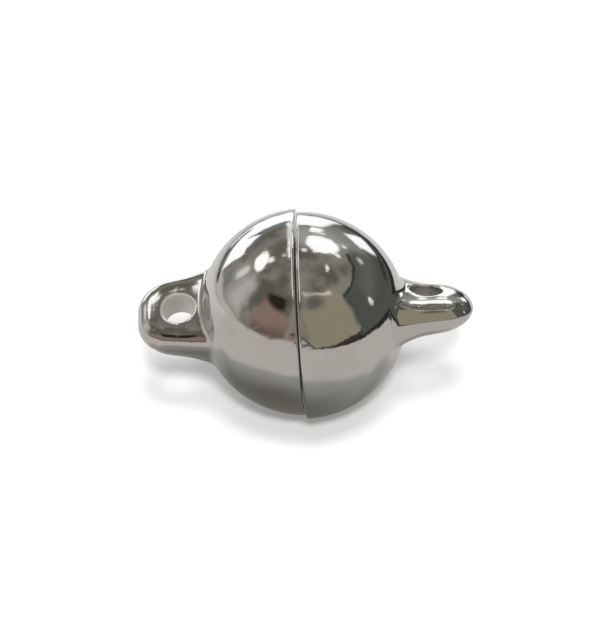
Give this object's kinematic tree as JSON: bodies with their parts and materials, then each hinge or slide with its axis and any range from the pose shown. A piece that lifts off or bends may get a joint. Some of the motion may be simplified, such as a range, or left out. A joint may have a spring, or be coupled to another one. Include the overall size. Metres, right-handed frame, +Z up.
{
  "type": "magnetic ball clasp",
  "caption": "Ball-shaped magnetic clasp whose half balls snap together on disc magnets and swivel, each with a pierced lug for a cord or chain end.",
  "frame": {"origin": "on the surface that the closed clasp lies on, below the middle of the seam", "axes": "+X along the clasp's axis towards the half that pulls away, +Z up, -Y towards the side shown in the picture"},
  "size_m": [0.016, 0.0101, 0.0098],
  "materials": {
    "plated_shell": "mirror-polished rhodium-coloured plating over a zinc alloy casting",
    "nickel_magnet": "satin nickel plating"
  },
  "bodies": {
    "left_half": {"left_shell": "plated_shell", "left_magnet": "nickel_magnet"},
    "right_core": {"right_magnet": "nickel_magnet"},
    "right_half": {"right_shell": "plated_shell"}
  },
  "joints": [
    {"name": "pull_apart", "type": "slide", "parent": "left_half", "child": "right_core", "axis": [1, 0, 0], "range_m": [0, 0.012], "stiffness_N_per_m": 2, "springref_m": -0.03},
    {"name": "swivel", "type": "hinge", "parent": "right_core", "child": "right_half", "pos_m": [0.00003, -0.00028, 0.0049], "axis": [1, 0, 0], "continuous": true}
  ]
}
